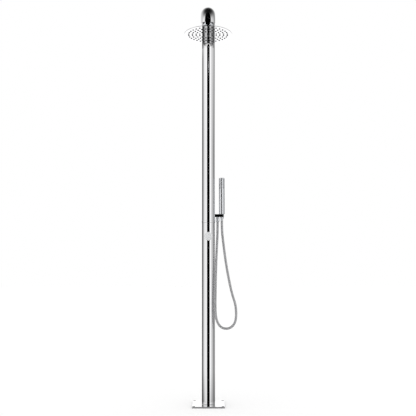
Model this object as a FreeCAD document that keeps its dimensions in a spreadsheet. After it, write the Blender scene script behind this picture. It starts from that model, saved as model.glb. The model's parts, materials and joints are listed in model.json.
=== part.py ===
import FreeCAD, Part
import Sketcher
import math
import os

from FreeCAD import Placement, Rotation, Vector

# Outdoor shower post, millimetres, +Z up.  Origin: post axis on the underside of the
# base plate.  The arm reaches towards -Y (the side where the knob is), the hand shower
# hangs on +X.

doc = FreeCAD.newDocument("outdoor_shower_post")

# ---------------------------------------------------------------- driving sizes
SIZES = {
    # base plate
    "plate_side": 180.0,
    "plate_thickness": 8.0,
    "plate_corner": 3.0,
    "anchor_inset": 10.0,
    "anchor_hole": 14.0,
    "anchor_chamfer": 0.8,
    "plate_opening": 50.0,
    "weld_leg": 4.2,
    # post and arm tube
    "post_diameter": 76.1,
    "post_wall": 2.0,
    "joint_height": 1023.0,
    "band_height": 12.0,
    "band_proud": 1.0,
    "straight_top": 2048.5,
    "bend_radius": 65.0,
    "arm_reach": 420.0,
    "front_leg": 7.5,
    "cap_thickness": 4.0,
    # sleeve that joins the two halves of the post
    "sleeve_depth": 56.0,
    "sleeve_wall": 2.5,
    "seat_clearance": 0.05,
    "set_screw": 6.0,
    "set_screw_length": 5.0,
    # diverter tap
    "valve_drop": 80.0,
    "valve_diameter": 40.0,
    "valve_half_length": 22.0,
    "valve_neck": 30.0,
    "valve_proud": 11.95,
    "port_boss": 20.0,
    "port_length": 28.0,
    "cartridge": 23.8,
    "cartridge_back": 4.0,
    "nut_thread_depth": 4.0,
    "nut_flange": 28.0,
    "nut_flange_thickness": 5.0,
    "escutcheon": 44.0,
    "escutcheon_proud": 5.95,
    "locknut": 38.0,
    "locknut_thickness": 5.0,
    "spindle": 10.0,
    # knob
    "knob_diameter": 46.5,
    "knob_gap": 7.95,
    "knob_thickness": 18.0,
    "knob_clearance": 1.5,
    "knob_depth_clearance": 3.0,
    "knob_dome": 2.0,
    "knob_edge": 2.0,
    "hub_diameter": 16.0,
    "grub_screw": 5.0,
    "grub_length": 8.0,
    "grub_setback": 16.0,
    # pipes inside the post
    "inlet_bottom": 18.0,
    "inlet_thread": 20.9,
    "inlet_thread_length": 14.0,
    "inlet_hex": 24.0,
    "inlet_hex_height": 8.0,
    "supply_pipe": 16.0,
    "pipe_wall": 1.0,
    "riser_pipe": 14.0,
    "riser_offset": 9.0,
    "riser_front_bend": 50.0,
    "riser_crossing": 160.0,
    "handset_pipe": 10.0,
    "handset_pipe_offset": 11.0,
    "handset_pipe_bend": 12.0,
    # swivel above the rain head
    "ball_drop": 23.0,
    "ball_radius": 11.0,
    "neck_diameter": 16.0,
    "neck_waist": 10.0,
    "stem_bore": 7.0,
    "stem_tail": 17.0,
    "stem_nut_hex": 24.0,
    "stem_nut_height": 8.0,
    "ring_gap": 0.3,
    "ring_wall": 1.5,
    "collar_diameter": 34.0,
    "collar_top_diameter": 28.0,
    "hub_thread": 28.0,
    # rain head
    "head_diameter": 250.0,
    "head_drop": 35.0,
    "spray_sheet": 1.2,
    "head_rim_height": 4.0,
    "head_rim_wall": 1.2,
    "mat_thickness": 1.3,
    "nozzle_hole": 5.4,
    "nozzle_base": 5.0,
    "nozzle_tip": 3.4,
    "nozzle_proud": 1.4,
    "nozzle_ring_pitch": 19.4,
    # holder bar for the hand shower
    "bar_rise": 29.0,
    "bar_depth": 26.0,
    "bar_thickness": 18.0,
    "bar_overhang": 12.5,
    "bar_edge": 2.5,
    "spigot": 16.0,
    "spigot_inner_end": 24.0,
    "spigot_bore": 8.0,
    "bar_nut": 26.0,
    "bar_nut_thickness": 5.0,
    "nut_to_band": 2.7,
    "nut_to_socket": 2.75,
    "socket_top": 19.0,
    "socket_bottom": 16.4,
    "socket_boss": 22.0,
    "socket_boss_drop": 8.0,
    # hose outlet and hose
    "outlet_collar": 19.0,
    "outlet_collar_height": 7.0,
    "outlet_thread": 17.0,
    "outlet_screw": 13.0,
    "hose_nut": 21.5,
    "hose_nut_height": 20.0,
    "hose_nut_floor": 2.0,
    "washer_thickness": 2.0,
    "hose_bore": 9.0,
    "hose_diameter": 14.0,
    # hand shower
    "ferrule": 14.8,
    "ferrule_length": 12.0,
    "ferrule_stem": 8.0,
    "ferrule_stem_length": 13.0,
    "cone_gap": 0.3,
    "cone_screw": 12.0,
    "handset_diameter": 33.4,
    "handset_length": 210.0,
    "handset_wall": 2.0,
    "handset_edge": 3.0,
    "handset_gap": 0.3,
    "plug_height": 12.0,
    "spray_width": 19.6,
    "spray_length": 58.0,
    "spray_from_top": 6.0,
    "spray_recess": 0.32,
    "spray_thickness": 3.0,
    "jet_base": 3.0,
    "jet_tip": 2.2,
    "jet_proud": 0.8,
    "jet_pitch": 5.6,
    # small fits
    "fit": 0.1,
    "running_fit": 0.05,
}

sheet = doc.addObject("Spreadsheet::Sheet", "Sizes")
for row, (alias, number) in enumerate(SIZES.items(), start=1):
    sheet.set("A%d" % row, alias)
    sheet.set("B%d" % row, str(number))
    sheet.setAlias("B%d" % row, alias)
doc.recompute()


class Dim:
    """A size: its number and the expression over the sheet that gives it."""

    def __init__(self, number, text):
        self.number = float(number)
        self.text = text

    @staticmethod
    def of(thing):
        if isinstance(thing, Dim):
            return thing
        return Dim(thing, repr(float(thing)))

    def __add__(self, other):
        other = Dim.of(other)
        return Dim(self.number + other.number, "(%s + %s)" % (self.text, other.text))

    def __radd__(self, other):
        return Dim.of(other) + self

    def __sub__(self, other):
        other = Dim.of(other)
        return Dim(self.number - other.number, "(%s - %s)" % (self.text, other.text))

    def __rsub__(self, other):
        return Dim.of(other) - self

    def __mul__(self, other):
        other = Dim.of(other)
        return Dim(self.number * other.number, "(%s * %s)" % (self.text, other.text))

    def __rmul__(self, other):
        return Dim.of(other) * self

    def __truediv__(self, other):
        other = Dim.of(other)
        return Dim(self.number / other.number, "(%s / %s)" % (self.text, other.text))

    def __neg__(self):
        return Dim(-self.number, "(0 - %s)" % self.text)


def chord_height(radius, half_chord):
    """Distance from a circle's centre to a chord."""
    number = math.sqrt(radius.number ** 2 - half_chord.number ** 2)
    return Dim(number, "sqrt(%s ^ 2 - %s ^ 2)" % (radius.text, half_chord.text))


class Sheet:
    """The sheet's sizes by name."""

    def __getattr__(self, name):
        return Dim(sheet.get(name), "Sizes." + name)


s = Sheet()

# Levels and offsets that several pieces share.
post_r = s.post_diameter / 2
bore_r = post_r - s.post_wall
band_top = s.joint_height + s.band_height
arm_height = s.straight_top + s.bend_radius
rear_centre = -s.bend_radius
front_centre = s.bend_radius - s.arm_reach
leg_end = s.straight_top - s.front_leg
cap_top = leg_end + s.cap_thickness
ball_z = leg_end - s.ball_drop
head_low = ball_z - s.head_drop
valve_z = s.joint_height - s.valve_drop
valve_reach = post_r + s.valve_proud
cover_front = post_r + s.escutcheon_proud
bar_z = band_top + s.bar_rise
bar_top = bar_z + s.bar_thickness / 2
bar_bottom = bar_z - s.bar_thickness / 2
socket_foot = bar_bottom - s.socket_boss_drop
outlet_x = post_r + s.band_proud + s.nut_to_band + s.hose_nut / 2
socket_x = outlet_x + s.hose_nut / 2 + s.nut_to_socket + s.socket_boss / 2
bar_end = socket_x + s.bar_overhang
sleeve_r = bore_r - s.seat_clearance

ALONG_X = Rotation(Vector(0, 1, 0), 90)
TO_FRONT = Rotation(Vector(1, 0, 0), 90)


# ---------------------------------------------------------------- helpers
def bind(obj, prop, dim):
    dim = Dim.of(dim)
    obj.setExpression(prop, dim.text)


def place(obj, at=(0, 0, 0), turn=None):
    at = [Dim.of(value) for value in at]
    if turn is None:
        turn = Rotation()
    obj.Placement = Placement(Vector(*[value.number for value in at]), turn)
    for axis, value in zip("xyz", at):
        bind(obj, "Placement.Base." + axis, value)
    return obj


def cylinder(name, radius, height, at=(0, 0, 0), turn=None):
    obj = doc.addObject("Part::Cylinder", name)
    bind(obj, "Radius", radius)
    bind(obj, "Height", height)
    return place(obj, at, turn)


def cone(name, radius_low, radius_high, height, at=(0, 0, 0), turn=None):
    obj = doc.addObject("Part::Cone", name)
    bind(obj, "Radius1", radius_low)
    bind(obj, "Radius2", radius_high)
    bind(obj, "Height", height)
    return place(obj, at, turn)


def box(name, length, width, height, at=(0, 0, 0), turn=None):
    obj = doc.addObject("Part::Box", name)
    bind(obj, "Length", length)
    bind(obj, "Width", width)
    bind(obj, "Height", height)
    return place(obj, at, turn)


def sphere(name, radius, at=(0, 0, 0), low=-90, high=90):
    obj = doc.addObject("Part::Sphere", name)
    bind(obj, "Radius", radius)
    obj.Angle1 = low
    obj.Angle2 = high
    return place(obj, at)


def prism(name, across_flats, height, sides=6, at=(0, 0, 0), turn=None):
    obj = doc.addObject("Part::Prism", name)
    obj.Polygon = sides
    bind(obj, "Circumradius", across_flats / (2 * math.cos(math.pi / sides)))
    bind(obj, "Height", height)
    return place(obj, at, turn)


def cut(name, base, *tools):
    result = base
    for number, tool in enumerate(tools, start=1):
        step = doc.addObject("Part::Cut", "%s_cut_%d" % (name, number))
        step.Base = result
        step.Tool = tool
        result = step
    return result


def fuse(name, *pieces):
    obj = doc.addObject("Part::MultiFuse", name + "_fuse")
    obj.Shapes = list(pieces)
    return obj


def group(name, *pieces):
    """Several separate solids kept as one node."""
    obj = doc.addObject("Part::Compound", name + "_group")
    obj.Links = list(pieces)
    return obj


def origin_plane(body, role):
    return [item for item in body.Origin.OriginFeatures if item.Role == role][0]


def closed_profile(body, name, plane, points):
    """Sketch of straight lines through the given points, each tied to the sheet."""
    sketch = body.newObject("Sketcher::SketchObject", name)
    sketch.AttachmentSupport = (origin_plane(body, plane), [""])
    sketch.MapMode = "FlatFace"
    points = [(Dim.of(x), Dim.of(y)) for x, y in points]
    corners = [Vector(x.number, y.number, 0) for x, y in points]
    count = len(corners)
    for i in range(count):
        line = Part.LineSegment(corners[i], corners[(i + 1) % count])
        sketch.addGeometry(line, False)
    for i in range(count):
        sketch.addConstraint(Sketcher.Constraint("Coincident", i, 2, (i + 1) % count, 1))
    for i, (x, y) in enumerate(points):
        for kind, value in (("DistanceX", x), ("DistanceY", y)):
            made = Sketcher.Constraint(kind, -1, 1, i, 1, value.number)
            number = sketch.addConstraint(made)
            sketch.setExpression("Constraints[%d]" % number, value.text)
    return sketch


def turned(name, points, at=(0, 0, 0), turn=None):
    """Piece turned about its own Z axis from (radius, height) points."""
    body = doc.addObject("PartDesign::Body", name + "_body")
    sketch = closed_profile(body, name + "_profile", "XZ_Plane", points)
    feature = body.newObject("PartDesign::Revolution", name + "_turned")
    feature.Profile = sketch
    feature.ReferenceAxis = (sketch, ["V_Axis"])
    feature.Angle = 360
    body.Tip = feature
    return place(body, at, turn)


def tube(name, outer, inner, height, at=(0, 0, 0), turn=None):
    """Straight round tube or ring."""
    points = [(inner, 0), (outer, 0), (outer, height), (inner, height)]
    return turned(name, points, at, turn)


def route(points, radii):
    """Straight runs joined by tangent arcs; radii are for the inner points."""
    edges = []
    start = points[0]
    for i in range(1, len(points) - 1):
        corner = points[i]
        before = (points[i - 1] - corner).normalize()
        after = (points[i + 1] - corner).normalize()
        half = before.getAngle(after) / 2
        reach = radii[i - 1] / math.tan(half)
        first = corner + before * reach
        last = corner + after * reach
        bisector = (before + after).normalize()
        centre = corner + bisector * (radii[i - 1] / math.sin(half))
        middle = centre - bisector * radii[i - 1]
        edges.append(Part.LineSegment(start, first).toShape())
        edges.append(Part.Arc(first, middle, last).toShape())
        start = last
    edges.append(Part.LineSegment(start, points[-1]).toShape())
    return Part.Wire(edges)


def swept(path, radius):
    start = path.Edges[0]
    direction = start.tangentAt(start.FirstParameter)
    point = start.valueAt(start.FirstParameter)
    ring = Part.Wire([Part.Circle(point, direction, radius).toShape()])
    return path.makePipeShell([ring], True, False)


def bent_pipe(name, points, radii, outer, wall):
    """Pipe with bends; its sizes are read from the sheet."""
    path = route(points, radii)
    solid = swept(path, outer.number / 2)
    bore = swept(path, outer.number / 2 - wall.number)
    obj = doc.addObject("Part::Feature", name + "_pipe")
    obj.Shape = solid.cut(bore)
    obj.Placement = Placement()
    return obj


nodes = []


def node(obj, label):
    obj.Label = label
    nodes.append(obj)
    return obj


# ---------------------------------------------------------------- base plate
plate = doc.addObject("PartDesign::Body", "plate_body")
half = s.plate_side / 2
outline = closed_profile(plate, "plate_outline", "XY_Plane",
                         [(-half, -half), (half, -half), (half, half), (-half, half)])
plate_pad = plate.newObject("PartDesign::Pad", "plate_pad")
plate_pad.Profile = outline
bind(plate_pad, "Length", s.plate_thickness)
doc.recompute()
corners = []
for number, edge in enumerate(plate_pad.Shape.Edges, start=1):
    if abs(edge.tangentAt(edge.FirstParameter).z) > 0.9:
        corners.append("Edge%d" % number)
plate_corners = plate.newObject("PartDesign::Fillet", "plate_corners")
plate_corners.Base = (plate_pad, corners)
bind(plate_corners, "Radius", s.plate_corner)
doc.recompute()

middle_sketch = plate.newObject("Sketcher::SketchObject", "middle_sketch")
middle_sketch.AttachmentSupport = (origin_plane(plate, "XY_Plane"), [""])
middle_sketch.MapMode = "FlatFace"
middle_circle = Part.Circle(Vector(0, 0, 0), Vector(0, 0, 1), (s.plate_opening / 2).number)
middle_sketch.addGeometry(middle_circle, False)
middle_sketch.addConstraint(Sketcher.Constraint("Coincident", 0, 3, -1, 1))
middle_sketch.addConstraint(Sketcher.Constraint("Radius", 0, (s.plate_opening / 2).number))
middle_sketch.setExpression("Constraints[1]", (s.plate_opening / 2).text)
middle_hole = plate.newObject("PartDesign::Pocket", "middle_hole")
middle_hole.Profile = middle_sketch
middle_hole.Type = "ThroughAll"
middle_hole.Midplane = True
doc.recompute()

anchor_at = s.plate_side / 2 - s.anchor_inset
anchor_sketch = plate.newObject("Sketcher::SketchObject", "anchor_sketch")
anchor_sketch.AttachmentSupport = (origin_plane(plate, "XY_Plane"), [""])
anchor_sketch.MapMode = "FlatFace"
anchor_centre = Vector(anchor_at.number, anchor_at.number, 0)
anchor_r = s.anchor_hole / 2
anchor_circle = Part.Circle(anchor_centre, Vector(0, 0, 1), anchor_r.number)
anchor_sketch.addGeometry(anchor_circle, False)
anchor_rules = (("DistanceX", anchor_at), ("DistanceY", anchor_at))
for kind, value in anchor_rules:
    made = Sketcher.Constraint(kind, -1, 1, 0, 3, value.number)
    anchor_sketch.setExpression("Constraints[%d]" % anchor_sketch.addConstraint(made),
                                value.text)
made = Sketcher.Constraint("Radius", 0, anchor_r.number)
anchor_sketch.setExpression("Constraints[%d]" % anchor_sketch.addConstraint(made),
                            anchor_r.text)
anchor_pocket = plate.newObject("PartDesign::Pocket", "anchor_pocket")
anchor_pocket.Profile = anchor_sketch
anchor_pocket.Type = "ThroughAll"
anchor_pocket.Midplane = True
doc.recompute()
anchor_pattern = plate.newObject("PartDesign::PolarPattern", "anchor_pattern")
anchor_pattern.Originals = [anchor_pocket]
anchor_pattern.Axis = (anchor_sketch, ["N_Axis"])
anchor_pattern.Angle = 360
anchor_pattern.Occurrences = 4
plate.Tip = anchor_pattern
doc.recompute()
rims = []
for number, edge in enumerate(anchor_pattern.Shape.Edges, start=1):
    if isinstance(edge.Curve, Part.Circle):
        on_top = abs(edge.BoundBox.ZMin - s.plate_thickness.number) < 0.001
        if on_top and abs(edge.Curve.Radius - anchor_r.number) < 0.001:
            if edge.Curve.Center.Length > (s.plate_opening / 2).number:
                rims.append("Edge%d" % number)
anchor_chamfers = plate.newObject("PartDesign::Chamfer", "anchor_chamfers")
anchor_chamfers.Base = (anchor_pattern, rims)
bind(anchor_chamfers, "Size", s.anchor_chamfer)
plate.Tip = anchor_chamfers

# Weld bead round the foot of the post.
bead_r = post_r + s.running_fit
bead = turned("weld_bead", [
    (bead_r, 0),
    (bead_r + s.weld_leg, 0),
    (bead_r + s.weld_leg * 0.62, s.weld_leg * 0.22),
    (bead_r + s.weld_leg * 0.22, s.weld_leg * 0.62),
    (bead_r, s.weld_leg),
], at=(0, 0, s.plate_thickness))
node(fuse("base_plate", plate, bead), "base_plate")

# ---------------------------------------------------------------- post
valve_hole_r = s.valve_neck / 2 + s.fit * 5
screw_r = s.set_screw / 2
screw_low = s.joint_height - s.sleeve_depth / 2
screw_high = band_top + s.sleeve_depth / 2 - 8
screw_hole = screw_r + s.fit

lower_tube = tube("lower_post", post_r, bore_r, s.joint_height - s.plate_thickness,
                  at=(0, 0, s.plate_thickness))
valve_hole = cylinder("valve_hole", valve_hole_r, s.post_diameter,
                      at=(0, 0, valve_z), turn=TO_FRONT)
low_screw_hole = cylinder("low_screw_hole", screw_hole, s.post_diameter,
                          at=(0, s.post_diameter, screw_low), turn=TO_FRONT)
node(cut("lower_post", lower_tube, valve_hole, low_screw_hole), "lower_post")

# One turned sleeve: proud band in the middle, a spigot in each half of the post.
sleeve_bore = sleeve_r - s.sleeve_wall
sleeve_body = turned("joint_sleeve", [
    (sleeve_bore, s.joint_height - s.sleeve_depth),
    (sleeve_r, s.joint_height - s.sleeve_depth),
    (sleeve_r, s.joint_height),
    (post_r + s.band_proud, s.joint_height),
    (post_r + s.band_proud, band_top),
    (sleeve_r, band_top),
    (sleeve_r, band_top + s.sleeve_depth),
    (sleeve_bore, band_top + s.sleeve_depth),
])
sleeve_spigot_hole = cylinder("sleeve_spigot_hole", s.spigot / 2 + 5 * s.fit, s.post_diameter,
                              at=(0, 0, bar_z), turn=ALONG_X)
sleeve_low_tap = cylinder("sleeve_low_tap", screw_hole, s.post_diameter,
                          at=(0, s.post_diameter, screw_low), turn=TO_FRONT)
sleeve_high_tap = cylinder("sleeve_high_tap", screw_hole, s.post_diameter,
                           at=(0, s.post_diameter, screw_high), turn=TO_FRONT)
node(cut("joint_sleeve", sleeve_body, sleeve_spigot_hole, sleeve_low_tap, sleeve_high_tap),
     "joint_sleeve")


def set_screw(name, level):
    """Set screw with a hexagon socket, its outer end just below the tube's surface."""
    outer_end = post_r - 0.4
    shank = cylinder(name, screw_r, s.set_screw_length, at=(0, outer_end, level),
                     turn=TO_FRONT)
    socket = prism(name + "_socket", s.set_screw / 2, s.set_screw_length / 2,
                   at=(0, outer_end, level), turn=TO_FRONT)
    return cut(name, shank, socket)


node(group("joint_screws", set_screw("low_screw", screw_low), set_screw("high_screw", screw_high)),
     "joint_screws")

upper_tube = tube("upper_post", post_r, bore_r, s.straight_top - band_top,
                  at=(0, 0, band_top))
upper_spigot_hole = cylinder("upper_spigot_hole", s.spigot / 2 + 5 * s.fit, s.post_diameter,
                             at=(0, 0, bar_z), turn=ALONG_X)
high_screw_hole = cylinder("high_screw_hole", screw_hole, s.post_diameter,
                           at=(0, s.post_diameter, screw_high), turn=TO_FRONT)
node(cut("upper_post", upper_tube, upper_spigot_hole, high_screw_hole), "upper_post")


# ---------------------------------------------------------------- bends and arm
def quarter_bend(name, radius, at, turn):
    obj = doc.addObject("Part::Torus", name)
    bind(obj, "Radius1", s.bend_radius)
    bind(obj, "Radius2", radius)
    obj.Angle3 = 90
    return place(obj, at, turn)


REAR = Rotation(Vector(0, 1, 0), Vector(0, 0, 1), Vector(1, 0, 0), "XYZ")
FRONT = Rotation(Vector(0, 0, 1), Vector(0, -1, 0), Vector(1, 0, 0), "XYZ")
rear_at = (0, rear_centre, s.straight_top)
node(cut("rear_elbow",
         quarter_bend("rear_bend", post_r, rear_at, REAR),
         quarter_bend("rear_bend_bore", bore_r, rear_at, REAR)), "rear_elbow")

arm_length = rear_centre - front_centre
node(tube("arm_tube", post_r, bore_r, arm_length,
          at=(0, rear_centre, arm_height), turn=TO_FRONT), "arm_tube")

front_at = (0, front_centre, s.straight_top)
front_bend = cut("front_elbow",
                 quarter_bend("front_bend", post_r, front_at, FRONT),
                 quarter_bend("front_bend_bore", bore_r, front_at, FRONT))
front_leg = tube("front_leg", post_r, bore_r, s.front_leg, at=(0, -s.arm_reach, leg_end))
node(fuse("front_elbow", front_bend, front_leg), "front_elbow")

# ---------------------------------------------------------------- end cap and swivel stem
neck_r = s.neck_diameter / 2
cap_r = bore_r - s.seat_clearance
node(tube("arm_end_cap", cap_r, neck_r + s.running_fit, s.cap_thickness,
          at=(0, -s.arm_reach, leg_end)), "arm_end_cap")

waist_r = s.neck_waist / 2
tail_top = s.ball_drop + s.stem_tail
stem_shaft = turned("stem_shaft", [
    (0, 0),
    (waist_r, 0),
    (waist_r, s.ball_radius + 1),
    (neck_r, s.ball_drop - 4),
    (neck_r, tail_top),
    (0, tail_top),
], at=(0, -s.arm_reach, ball_z))
stem_ball = sphere("stem_ball", s.ball_radius, at=(0, -s.arm_reach, ball_z))
stem_bore = cylinder("stem_waterway", s.stem_bore / 2, tail_top + 2 * s.ball_radius,
                     at=(0, -s.arm_reach, ball_z - s.ball_radius * 1.5))
node(cut("swivel_stem", fuse("stem_solid", stem_shaft, stem_ball), stem_bore), "swivel_stem")

nut_hex = prism("stem_nut_hexagon", s.stem_nut_hex, s.stem_nut_height, at=(0, -s.arm_reach, cap_top))
nut_thread = cylinder("stem_nut_thread", neck_r + s.running_fit, s.stem_nut_height,
                      at=(0, -s.arm_reach, cap_top))
node(cut("stem_nut", nut_hex, nut_thread), "stem_nut")

# ---------------------------------------------------------------- diverter tap
valve_r = s.valve_diameter / 2
neck_len = valve_reach - s.valve_half_length
valve_core = turned("valve_core", [
    (0, -s.valve_half_length),
    (valve_r - 2, -s.valve_half_length),
    (valve_r, 2 - s.valve_half_length),
    (valve_r, s.valve_half_length),
    (s.valve_neck / 2, s.valve_half_length),
    (s.valve_neck / 2, valve_reach),
    (0, valve_reach),
], at=(0, 0, valve_z), turn=TO_FRONT)
port_r = s.port_boss / 2
port_top = valve_z + s.port_length
port_low = valve_z - s.port_length
supply_boss = cylinder("supply_boss", port_r, s.port_length, at=(0, 0, port_low))
riser_boss = cylinder("riser_boss", s.riser_pipe / 2 + 1, s.port_length,
                      at=(-s.riser_offset, 0, valve_z))
hand_boss = cylinder("hand_boss", s.handset_pipe / 2 + 2, s.port_length,
                     at=(s.handset_pipe_offset, 0, valve_z))
chamber = cylinder("cartridge_bore", s.cartridge / 2 + s.fit,
                   valve_reach - s.cartridge_back,
                   at=(0, -s.cartridge_back, valve_z), turn=TO_FRONT)
supply_way = cylinder("supply_way", s.supply_pipe / 2 - s.pipe_wall, s.port_length,
                      at=(0, -s.cartridge_back * 2, port_low))
riser_way = cylinder("riser_way", s.riser_pipe / 2 - s.pipe_wall, s.port_length,
                     at=(-s.riser_offset, 0, valve_z))
hand_way = cylinder("hand_way", s.handset_pipe / 2 - s.pipe_wall, s.port_length,
                    at=(s.handset_pipe_offset, 0, valve_z))
valve_solid = fuse("valve_solid", valve_core, supply_boss, riser_boss, hand_boss)
node(cut("valve_body", valve_solid, chamber, riser_way, hand_way), "valve_body")

cartridge_front = valve_reach - s.nut_thread_depth
node(cylinder("valve_cartridge_solid", s.cartridge / 2, cartridge_front - s.cartridge_back,
              at=(0, -s.cartridge_back, valve_z), turn=TO_FRONT), "valve_cartridge")

spindle_r = s.spindle / 2
node(turned("cartridge_nut", [
    (spindle_r + s.running_fit, cartridge_front),
    (s.cartridge / 2, cartridge_front),
    (s.cartridge / 2, valve_reach),
    (s.nut_flange / 2, valve_reach),
    (s.nut_flange / 2, valve_reach + s.nut_flange_thickness),
    (spindle_r + s.running_fit, valve_reach + s.nut_flange_thickness),
], at=(0, 0, valve_z), turn=TO_FRONT), "cartridge_nut")

# Round cover, hollowed to the tube at its back.
cover_ring = tube("valve_cover", s.escutcheon / 2, s.valve_neck / 2 + s.fit, cover_front,
                  at=(0, 0, valve_z), turn=TO_FRONT)
cover_saddle = cylinder("cover_saddle", post_r + s.running_fit, s.escutcheon * 2,
                        at=(0, 0, valve_z - s.escutcheon))
node(cut("valve_escutcheon", cover_ring, cover_saddle), "valve_escutcheon")
node(tube("valve_locknut", s.locknut / 2, s.valve_neck / 2 + s.fit, s.locknut_thickness,
          at=(0, -cover_front, valve_z), turn=TO_FRONT), "valve_locknut")

# ---------------------------------------------------------------- knob
knob_r = s.knob_diameter / 2
cavity_r = s.locknut / 2 + s.knob_clearance
knob_back = post_r + s.knob_gap
cavity_end = valve_reach + s.nut_flange_thickness + s.knob_depth_clearance
knob_front = cavity_end + s.knob_thickness
hub_r = s.hub_diameter / 2
shaft_end = knob_front - 10
knob_solid = turned("knob", [
    (spindle_r + s.running_fit, cavity_end - 1),
    (hub_r, cavity_end - 1),
    (hub_r, cavity_end),
    (cavity_r, cavity_end),
    (cavity_r, knob_back),
    (knob_r, knob_back),
    (knob_r, knob_front - s.knob_dome - s.knob_edge),
    (knob_r - s.knob_edge * 0.3, knob_front - s.knob_dome - s.knob_edge * 0.3),
    (knob_r - s.knob_edge, knob_front - s.knob_dome),
    (knob_r * 0.6, knob_front - s.knob_dome * 0.3),
    (knob_r * 0.3, knob_front - s.knob_dome * 0.05),
    (0, knob_front),
    (0, shaft_end),
    (spindle_r + s.running_fit, shaft_end),
], at=(0, 0, valve_z), turn=TO_FRONT)
grub_y = knob_front - s.grub_setback
grub_hole = cylinder("grub_hole", s.grub_screw / 2 + s.fit, knob_r - spindle_r / 2,
                     at=(0, -grub_y, valve_z - knob_r - 1))
node(cut("control_knob", knob_solid, grub_hole), "control_knob")
node(cylinder("valve_spindle_solid", spindle_r, shaft_end - cartridge_front - 0.5,
              at=(0, -cartridge_front - 0.5, valve_z), turn=TO_FRONT), "valve_spindle")
grub_low = valve_z - spindle_r - s.fit - s.grub_length
grub_shank = cylinder("grub_shank", s.grub_screw / 2, s.grub_length, at=(0, -grub_y, grub_low))
grub_socket = prism("grub_socket", s.grub_screw / 2, s.grub_length / 2,
                    at=(0, -grub_y, grub_low))
node(cut("knob_grub_screw", grub_shank, grub_socket), "knob_grub_screw")

# ---------------------------------------------------------------- pipes inside the post
hex_low = s.inlet_bottom + s.inlet_thread_length
hex_top = hex_low + s.inlet_hex_height
inlet_thread = cylinder("inlet_thread_part", s.inlet_thread / 2, s.inlet_thread_length,
                        at=(0, 0, s.inlet_bottom))
inlet_hex = prism("inlet_hex_part", s.inlet_hex, s.inlet_hex_height, at=(0, 0, hex_low))
pipe_bore = s.supply_pipe / 2 - s.pipe_wall
inlet_way = cylinder("inlet_way", pipe_bore, s.inlet_thread_length + s.inlet_hex_height,
                     at=(0, 0, s.inlet_bottom))
node(cut("inlet_adapter", fuse("inlet_solid", inlet_thread, inlet_hex), inlet_way),
     "inlet_adapter")
node(tube("supply_pipe", s.supply_pipe / 2, pipe_bore, port_low - hex_top,
          at=(0, 0, hex_top)), "supply_pipe")

drop_centre = arm_height - s.riser_front_bend
riser_end = ball_z + tail_top
riser_points = [
    Vector(-s.riser_offset.number, 0, port_top.number),
    Vector(-s.riser_offset.number, 0, (band_top + s.sleeve_depth).number),
    Vector(0, 0, (band_top + s.sleeve_depth + s.riser_crossing).number),
    Vector(0, 0, arm_height.number),
    Vector(0, -s.arm_reach.number, arm_height.number),
    Vector(0, -s.arm_reach.number, riser_end.number),
]
riser_radii = [400.0, 400.0, s.bend_radius.number, s.riser_front_bend.number]
node(bent_pipe("riser_pipe", riser_points, riser_radii, s.riser_pipe, s.pipe_wall), "riser_pipe")
hand_points = [
    Vector(s.handset_pipe_offset.number, 0, port_top.number),
    Vector(s.handset_pipe_offset.number, 0, bar_z.number),
    Vector(s.spigot_inner_end.number, 0, bar_z.number),
]
node(bent_pipe("handset_pipe", hand_points, [s.handset_pipe_bend.number], s.handset_pipe,
               s.pipe_wall), "handset_pipe")

# ---------------------------------------------------------------- holder bar
bar_blank = box("bar_blank", bar_end, s.bar_depth, s.bar_thickness,
                at=(0, -s.bar_depth / 2, bar_bottom))
doc.recompute()
bar_rounded = doc.addObject("Part::Fillet", "bar_rounded")
bar_rounded.Base = bar_blank
long_edges = []
for number, edge in enumerate(bar_blank.Shape.Edges, start=1):
    along = edge.tangentAt(edge.FirstParameter)
    at_end = edge.BoundBox.XMin > bar_end.number - 0.01
    if abs(along.x) > 0.9 or at_end:
        long_edges.append((number, s.bar_edge.number, s.bar_edge.number))
bar_rounded.Edges = long_edges
bar_saddle = cylinder("bar_saddle", post_r + s.running_fit, s.bar_thickness + 10,
                      at=(0, 0, bar_bottom - 5))
bar_flat = cut("bar_flat", bar_rounded, bar_saddle)
spigot_length = outlet_x - s.spigot_inner_end
bar_spigot = cylinder("bar_spigot", s.spigot / 2, spigot_length,
                      at=(s.spigot_inner_end, 0, bar_z), turn=ALONG_X)
socket_boss = cylinder("socket_boss", s.socket_boss / 2, s.socket_boss_drop + s.bar_edge,
                       at=(socket_x, 0, socket_foot))
bar_way = cylinder("bar_way", s.spigot_bore / 2, spigot_length,
                   at=(s.spigot_inner_end, 0, bar_z), turn=ALONG_X)
outlet_hole = cylinder("outlet_hole", s.outlet_screw / 2 + s.running_fit,
                       s.bar_thickness * 0.7,
                       at=(outlet_x, 0, bar_bottom))
socket_height = bar_top - socket_foot
socket_hole = cone("socket_hole", s.socket_bottom / 2, s.socket_top / 2, socket_height,
                   at=(socket_x, 0, socket_foot))
bar_solid = fuse("bar_solid", bar_flat, bar_spigot, socket_boss)
node(cut("holder_bar", bar_solid, bar_way, outlet_hole, socket_hole), "holder_bar")
nut_seat = chord_height(sleeve_bore, s.bar_nut / 2) - s.fit
node(tube("bar_nut_ring", s.bar_nut / 2, s.spigot / 2 + s.running_fit, s.bar_nut_thickness,
          at=(nut_seat - s.bar_nut_thickness, 0, bar_z), turn=ALONG_X),
     "holder_locknut")

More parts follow.
